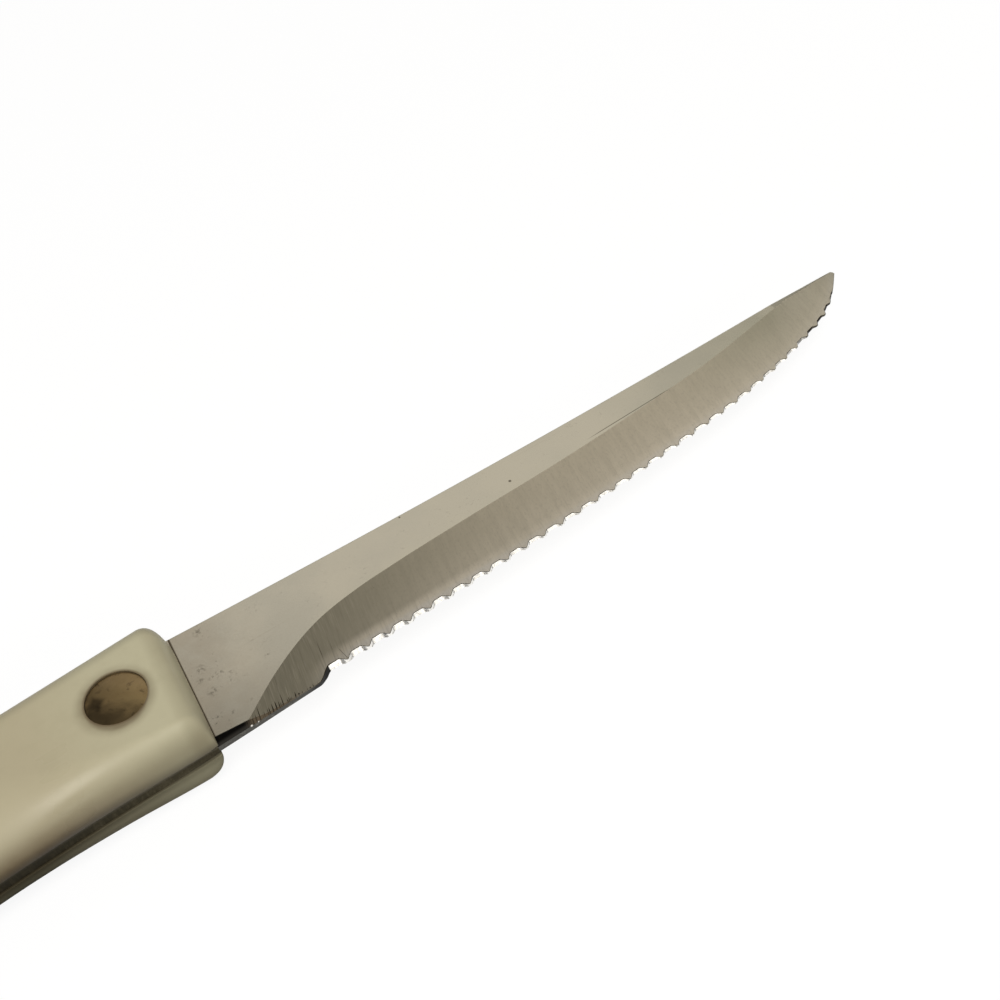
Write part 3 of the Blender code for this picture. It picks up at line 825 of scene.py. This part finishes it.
facetLook = dict(flecks=(1500, 3, 0.6), fleckSpan=(0.55, 0.75, 0, 0.6), darkAt=(0.107, 0.1115, 0, 0.95),
                 rough=(0.3, 0.7, 0.22, 0.36))


# The notches' faces are bright and flecked; the last ones before the tip are painted dark, a painted
# reflection.
def facetFinish():
    f = SteelFinish("notchFace", 1, facetLook, "facet")
    flecks = f.pattern("flecks")
    f.lay("fleck", f.by(flecks, "fleckSpan"))
    f.lay("spike", f.at("darkAt"))
    f.roughness(f.by(flecks, "rough"))
    return f.done()


heelEdgeLook = dict(cuts=(1, 4, 0.7), cutScale=(700, 1500, 2600), cutSpan=(0.5, 0.72),
                    blackAt=(0.0126, 0.0146), rough=(0.3, 0.7, 0.5, 0.7), cutBump=(0.4, 0.00004))


# The squared edge under the heel is speckled grey with painted glints, and black where the step was ground.
def heelEdgeFinish():
    f = SteelFinish("heelEdge", 0.2, heelEdgeLook, "heelEdge")
    cuts = f.pattern("cuts", "cutScale")
    # painted glints: light speckles and bright spots
    f.lay("heelGlint", f.by(cuts, "cutSpan"))
    f.lay("facet", f.glints())
    f.lay("nearBlack", f.at("blackAt"))
    f.roughness(f.by(cuts, "rough"))
    f.bump(cuts, "cutBump")
    return f.done()


# Spans named Out run out from the middle of the stock in metres, and clean runs up towards the spine.
tangLook = dict(
    cuts=(1, 4, 0.75), cutScale=(1500, 250, 350), cutTurn=(0, 0, 0.15), cutSpan=(0.4, 0.7),
    rimOut=(0.0001, 0.00095, 0, 0.75), noseOut=(-0.00095, -0.0004, 0.25, 0), noseAt=(-0.009, -0.002),
    blackAt=(-0.026, -0.004, 0.6, 0), clean=(joint[1] - 0.016, joint[1] - 0.01),
    rough=(0.3, 0.7, 0.6, 0.8), cutBump=(0.4, 0.00004), gloss=0.1)


# The tang's edge is dark with grime and has faint cuts across it; it is lighter along its near corner and at
# the front by painted light, and darker towards the butt by painted shade.
def tangFinish():
    f = SteelFinish("tangEdge", 0, tangLook, "tang")
    y, z = f.parts(f.place)[1:]
    out = f.minus(z, joint[2])
    cuts = f.pattern("cuts", "cutScale", "cutTurn")
    f.lay("tangGlint", f.by(cuts, "cutSpan"))
    # painted light: lighter along the near corner, and at the front
    f.lay("tangRim", f.by(out, "rimOut"))
    f.lay("tangRim", f.times(f.by(out, "noseOut"), f.at("noseAt")))
    # painted shade: darker towards the butt
    f.lay("nearBlack", f.at("blackAt"))
    top = f.mix(f.by(cuts, "cutSpan"), f.look["tangTop"], f.look["tangRim"])
    f.tone = f.mix(f.by(y, "clean"), f.tone, top)
    f.roughness(f.by(cuts, "rough"))
    f.bump(cuts, "cutBump")
    f.gloss(f.look["gloss"])
    return f.done()


spineLook = dict(cuts=(1, 3, 0.6), cutScale=(1600, 300, 300), cutSpan=(0.45, 0.75, 0, 0.4),
                 litAt=(0.075, 0.095), litEndAt=(0.1215, 0.1245, 1, 0), rough=(0.3, 0.7, 0.4, 0.55))


def spineFinish():
    f = SteelFinish("spineEdge", 0.35, spineLook, "spine")
    cuts = f.pattern("cuts", "cutScale")
    f.lay("groove", f.by(cuts, "cutSpan"))
    # painted highlight: the spine is lighter from past the middle to just before the point
    f.lay("spineTip", f.times(f.at("litAt"), f.at("litEndAt")))
    f.roughness(f.by(cuts, "rough"))
    return f.done()


# Spans named Along run along the handle in mm, back from its front, and those named Wrap run in mm round the
# section from the belly's seam. Shifts and reaches round a rivet are in mm.
ivoryLook = dict(
    pale=(0.52, 0.493, 0.343), warm=(0.458, 0.406, 0.277), shade=(0.4, 0.36, 0.24), halo=(0.2, 0.165, 0.1),
    soilAndShade=(0.13, 0.092, 0.05), dirtAndShade=(0.03, 0.023, 0.012), under=(0.085, 0.08, 0.054),
    cloud=(45, 4, 0.55, 0.4), mottle=(420, 4, 0.6), haloPatches=(350, 2), grain=(500, 2),
    agedAlong=(-22, -4, 0.85, 0.15), agedCloud=(0.3, 0.7, -0.1, 0.1), mottleSpan=(0.42, 0.75, 0, 0.2),
    haloShift=(-0.2, -0.28, 0), haloReach=1.8, haloDepth=0.7, haloBreak=(0.25, 0.75, 0.5, 1),
    smearShift=(-0.31, -0.95, 0), smearReach=(-0.5, 0.2), smearDepth=0.55, ringReach=0.45, ringDepth=0.8,
    shadeWrap=(4, 8, 1, 0), shadeRearAlong=(-50, -30, 0.3, 1), bendShadeEndAlong=(-1.2, -0.3, 1, 0),
    rearShadeAlong=(-22, -5, 1, 0), rearShadeMottle=(0.3, 0.7, 0.88, 1), rearShadeEndAlong=(-50, -30, 0.4, 1),
    dullRearAlong=(-27, -18, 0.24, 0), dullFrontAlong=(-18, -9, 0, 0.2), dullWrap=(11, 15, 0, 0.22),
    scuffs=(1, 3), scuffScale=(140, 600, 600), scuffTurn=(0.2, 0.1, 0.5), scuffSpan=(0.3, 0.75, -0.02, 0.03),
    grainBump=(0.012, 0.00004))
# Wear and painted shade of each scale: its gloss, the painted shade with some grime and soil on the belly,
# the dirt and painted shade at the seam and on the lip inside it, the painted shade on the bend of the front
# and of the belly.
nearWear = dict(
    rough=0.26, gloss=0.18, shadeAndGrime=(0.2, 0.165, 0.1), shadeAndGrimeWrap=(2.4, 6.2, 0.45, 0),
    rearShadeWrap=(0.6, 4.2, 0.92, 0), dirtAndShadeWrap=(0, 2.0, 1, 0), dirtAndShadeAlong=(-22, -3, 0.66, 0.43),
    lipWrap=(-0.1, 0.02, 1, 0), lipAlong=(-22, -3, 0.1, 0.1),
    bendShadeAlong=(-3.5, -2, 0, 0.22), shadeAlong=(-25, 0, 0, 0))
farWear = dict(
    rough=0.6, gloss=0.03, shadeAndGrime=(0.165, 0.155, 0.105), shadeAndGrimeWrap=(0, 3, 0.4, 0),
    rearShadeWrap=(0.6, 4.2, 0, 0), dirtAndShadeWrap=(0, 1.4, 1, 0), dirtAndShadeAlong=(-22, -3, 0.76, 0.3),
    lipWrap=(-0.1, 0.45, 1, 0), lipAlong=(-22, -3, 0.92, 0.72),
    bendShadeAlong=(-3.5, -2, 0, 0), shadeAlong=(-25, 0, 0.95, 0.03))


# Masks round the rivets: a soft patchy halo and a smear, both set off to one side, and a tight ring.
def rivetGrime(f):
    look, radius = ivoryLook, rivet["radius"]
    halos, smears, rings = [], [], []
    for place in rivetPlaces() + joint:
        away = f.ring(place + np.array(look["haloShift"]) * mm)
        halo = f.span(away, radius, radius + look["haloReach"] * mm, look["haloDepth"], 0)
        halos.append(f.times(halo, f.by(f.pattern("haloPatches"), "haloBreak")))
        away = f.ring(place + np.array(look["smearShift"]) * mm)
        smears.append(f.span(away, *(radius + np.array(look["smearReach"]) * mm), look["smearDepth"], 0))
        rings.append(f.span(f.ring(place), radius, radius + look["ringReach"] * mm, look["ringDepth"], 0))
    return f.most(halos), f.most(smears), f.most(rings)


# Grime gathers in a soft ring round each rivet. Along the belly's seam, more so to the rear, and on the bend
# of the front the scale is darker by painted shade with some grime and dirt; the front is rubbed duller, and
# only the belly is glossy. The far scale's belly gets more painted shade.
def ivoryFinish(name, wear):
    f = Finish(name, 0, ivoryLook | wear, "pale")
    along, wrap = f.uv("wrap")
    cloud, mottle = f.pattern("cloud"), f.pattern("mottle")
    f.lay("warm", f.plus(f.by(along, "agedAlong"), f.by(cloud, "agedCloud")))
    f.lay("shade", f.by(mottle, "mottleSpan"))
    for tone, mask in zip(("halo", "soilAndShade", "soilAndShade"), rivetGrime(f)):
        f.lay(tone, mask)
    # painted shade: the far scale's belly is darker towards the rear, easing again past the middle of the
    # handle
    shade = f.times(f.by(along, "shadeAlong", soft=False), f.by(wrap, "shadeWrap"))
    f.lay("under", f.times(shade, f.by(along, "shadeRearAlong")))
    # painted shade on the bend of the front
    f.lay("halo", f.times(f.by(along, "bendShadeAlong"), f.by(along, "bendShadeEndAlong")))
    # painted shade with some grime along the belly
    f.lay("shadeAndGrime", f.by(wrap, "shadeAndGrimeWrap"))
    # painted shade, mottled like soil: the belly darkens towards the rear
    rear = f.times(f.by(along, "rearShadeAlong", soft=False), f.by(mottle, "rearShadeMottle"))
    rear = f.times(rear, f.by(along, "rearShadeEndAlong"))
    f.lay("soilAndShade", f.times(f.by(wrap, "rearShadeWrap"), rear))
    # dirt and painted shade at the seam and on the lip inside it
    f.lay("dirtAndShade", f.most([f.times(f.by(wrap, kind + "Wrap"), f.by(along, kind + "Along", soft=False))
                          for kind in ("dirtAndShade", "lip")]))
    scuffs = f.pattern("scuffs", "scuffScale", "scuffTurn")
    dull = f.plus(f.by(along, "dullRearAlong"), f.by(along, "dullFrontAlong"))
    dull = f.most([dull, f.by(wrap, "dullWrap")])
    f.roughness(f.plus(f.plus(dull, f.look["rough"]), f.by(scuffs, "scuffSpan")))
    f.bump(f.pattern("grain"), "grainBump")
    f.gloss(f.look["gloss"])
    return f.done()


# Places on a head are in shares of its radius: across to the front, and up to the spine.
brassLook = dict(
    paintedLight=(0.43, 0.31, 0.145), worn=(0.47, 0.335, 0.175), brown=(0.27, 0.19, 0.09), dark=(0.05, 0.036, 0.02),
    cloud=(300, 4, 0.6, 0.6), spots=(900, 4, 0.65), towards=(0.469, 0.568), wavy=(0.3, 0.7, -0.12, 0.12),
    paintedLightAcross=(-0.8, 0.9), brownCloud=(0.4, 0.68, 0, 0.5),
    wornSheenRise=(0.05, 0.55), wornSpots=(0.3, 0.7, 0.35, 0.75),
    shadeRise=(-0.5, 0.0, 0.72, 0), darkSpots=(0.55, 0.72, 0, 0.5),
    patch=(-0.62, 0.2), patchSpan=(0.1, 0.45, 0.75, 0), rough=(0.3, 0.7, 0.36, 0.55), spotBump=(0.2, 0.00004))


# Painted reflection: the head is lighter towards the front and spine and darker below a soft line towards
# butt and belly; tarnish spots and a dark patch lie over it.
def brassFinish():
    f = Finish("tarnishedBrass", 1, brassLook, "brown")
    cloud, spots = f.pattern("cloud"), f.pattern("spots")
    ways = f.uv("face")
    rise = f.plus(*(f.times(way, share) for way, share in zip(ways, f.look["towards"])))
    # painted reflection: lighter towards the front, a worn sheen towards the spine, darker below a soft line
    # towards the butt and belly
    f.lay("paintedLight", f.by(ways[0], "paintedLightAcross", soft=False))
    f.lay("brown", f.by(cloud, "brownCloud"))
    f.lay("worn", f.times(f.by(rise, "wornSheenRise"), f.by(spots, "wornSpots")))
    f.lay("dark", f.by(f.plus(rise, f.by(cloud, "wavy")), "shadeRise"))
    f.lay("dark", f.by(spots, "darkSpots"))
    away = f.plus(*(f.maths("ABSOLUTE", f.minus(way, spot)) for way, spot in zip(ways, f.look["patch"])))
    f.lay("dark", f.by(away, "patchSpan"))
    f.roughness(f.by(cloud, "rough"))
    f.bump(spots, "spotBump")
    return f.done()


# the blade's finishes, in the order of its zones
for finish in (flatFinish, bevelFinish, rimFinish, facetFinish, heelEdgeFinish, tangFinish, spineFinish):
    bladePiece.data.materials.append(finish())
brass = brassFinish()
scalePieces[0].data.materials.append(ivoryFinish("ivoryPlastic", nearWear))
scalePieces[1].data.materials.append(ivoryFinish("dullIvory", farWear))
for piece, node in rivetPieces:
    piece.data.materials.append(brass)
print("finishes made")

placed = [(bladePiece, "blade", "blade_steel"), (scalePieces[0], "upper_scale", "handle_ivory"),
          (scalePieces[1], "lower_scale", "handle_ivory")]
for piece, node, slot in placed + [(p, n, "rivet_brass") for p, n in rivetPieces]:
    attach(piece, "root")
    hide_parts(node)

stage = dict(
    reach=3, drop=0.0002, paper=(0.12, 0.12, 0.12), rough=0.9, white=(1, 1, 1), glow=0.9,
    room=(0.16, 0.16, 0.16), warmth=(1, 0.97, 0.92), middle=(40, -8),  # what the panels face, in mm
    # soft panels: direction from the blade, distance, width, height and brightness, where 1 looks white
    panels=dict(overhead=((-0.15, -0.37, 0.915), 1.0, 0.46, 0.46, 10.4),
                back=((0.36, 0.59, 0.72), 1.2, 1.2, 0.5, 0.57),
                front=((-0.2, -0.87, 0.45), 1.0, 1.05, 0.2, 2.0),
                frontRight=((0.58, -0.7, 0.36), 1.0, 0.8, 0.2, 1.6),
                right=((0.9, 0.1, 0.42), 1.0, 0.5, 0.5, 1.0)))
sheet = bpy.data.meshes.new("floor")
corners = np.array([(-1, -1, 0), (1, -1, 0), (1, 1, 0), (-1, 1, 0)]) * stage["reach"] - (0, 0, stage["drop"])
sheet.from_pydata(corners, [], [(0, 1, 2, 3)])
floor = addPiece("floor", sheet)
paper = Finish("palePaper", 0, stage, "paper")
paper.roughness(stage["rough"])
paper.gloss(0)
# the floor looks pale to the camera and in reflections, and lights nothing
rays = paper.add("ShaderNodeLightPath", {})
bounced = paper.most([rays["Is Glossy Ray"], rays["Is Transmission Ray"]])
seen = paper.most([rays["Is Camera Ray"], bounced])
paper.put(paper.shader["Emission Color"], stage["white"])
paper.put(paper.shader["Emission Strength"], paper.times(seen, stage["glow"]))
floor.data.materials.append(paper.done())

world = bpy.data.worlds.new("studio")
world.use_nodes = True
world.node_tree.nodes["Background"].inputs["Color"].default_value = (*stage["room"], 1)
world.node_tree.nodes["Background"].inputs["Strength"].default_value = 1.0
bpy.context.scene.world = world

for name, (towards, away, wide, tall, bright) in stage["panels"].items():
    lamp = bpy.data.lights.new(name, "AREA")
    lamp.shape = "RECTANGLE"
    lamp.size, lamp.size_y = wide, tall
    lamp.energy = bright * math.pi * wide * tall
    lamp.color = stage["warmth"]
    panel = bpy.data.objects.new(name, lamp)
    panel.location = Vector(knifeSpot(*stage["middle"])) + Vector(towards).normalized() * away
    panel.rotation_mode = "QUATERNION"
    panel.rotation_quaternion = Vector(towards).to_track_quat("Z", "Y")
    panel.visible_camera = False
    bpy.context.scene.collection.objects.link(panel)
print("stage set")

# Camera: place in mm, and axes, in the knife's own frame
view = dict(lens=41.4, sensor=36, clip=0.01, place=(-6.0974, -107.7056, 123.5638),
            right=(0.818033, -0.567955, -0.09082), down=(-0.469294, -0.567786, -0.676301),
            ahead=(0.332542, 0.595858, -0.731006))
cam = bpy.data.objects.new("camera", bpy.data.cameras.new("camera"))
cam.data.lens = view["lens"]
cam.data.sensor_width = view["sensor"]
cam.data.clip_start = view["clip"]
turn = np.eye(4)
turn[:3, :3] = np.stack((view["right"], -np.array(view["down"]), -np.array(view["ahead"])), 1)
turn[:3, 3] = knifeSpot(*view["place"])
cam.matrix_world = Matrix(turn.tolist())
bpy.context.scene.collection.objects.link(cam)
bpy.context.scene.camera = cam
bpy.context.scene.view_settings.view_transform = "Standard"
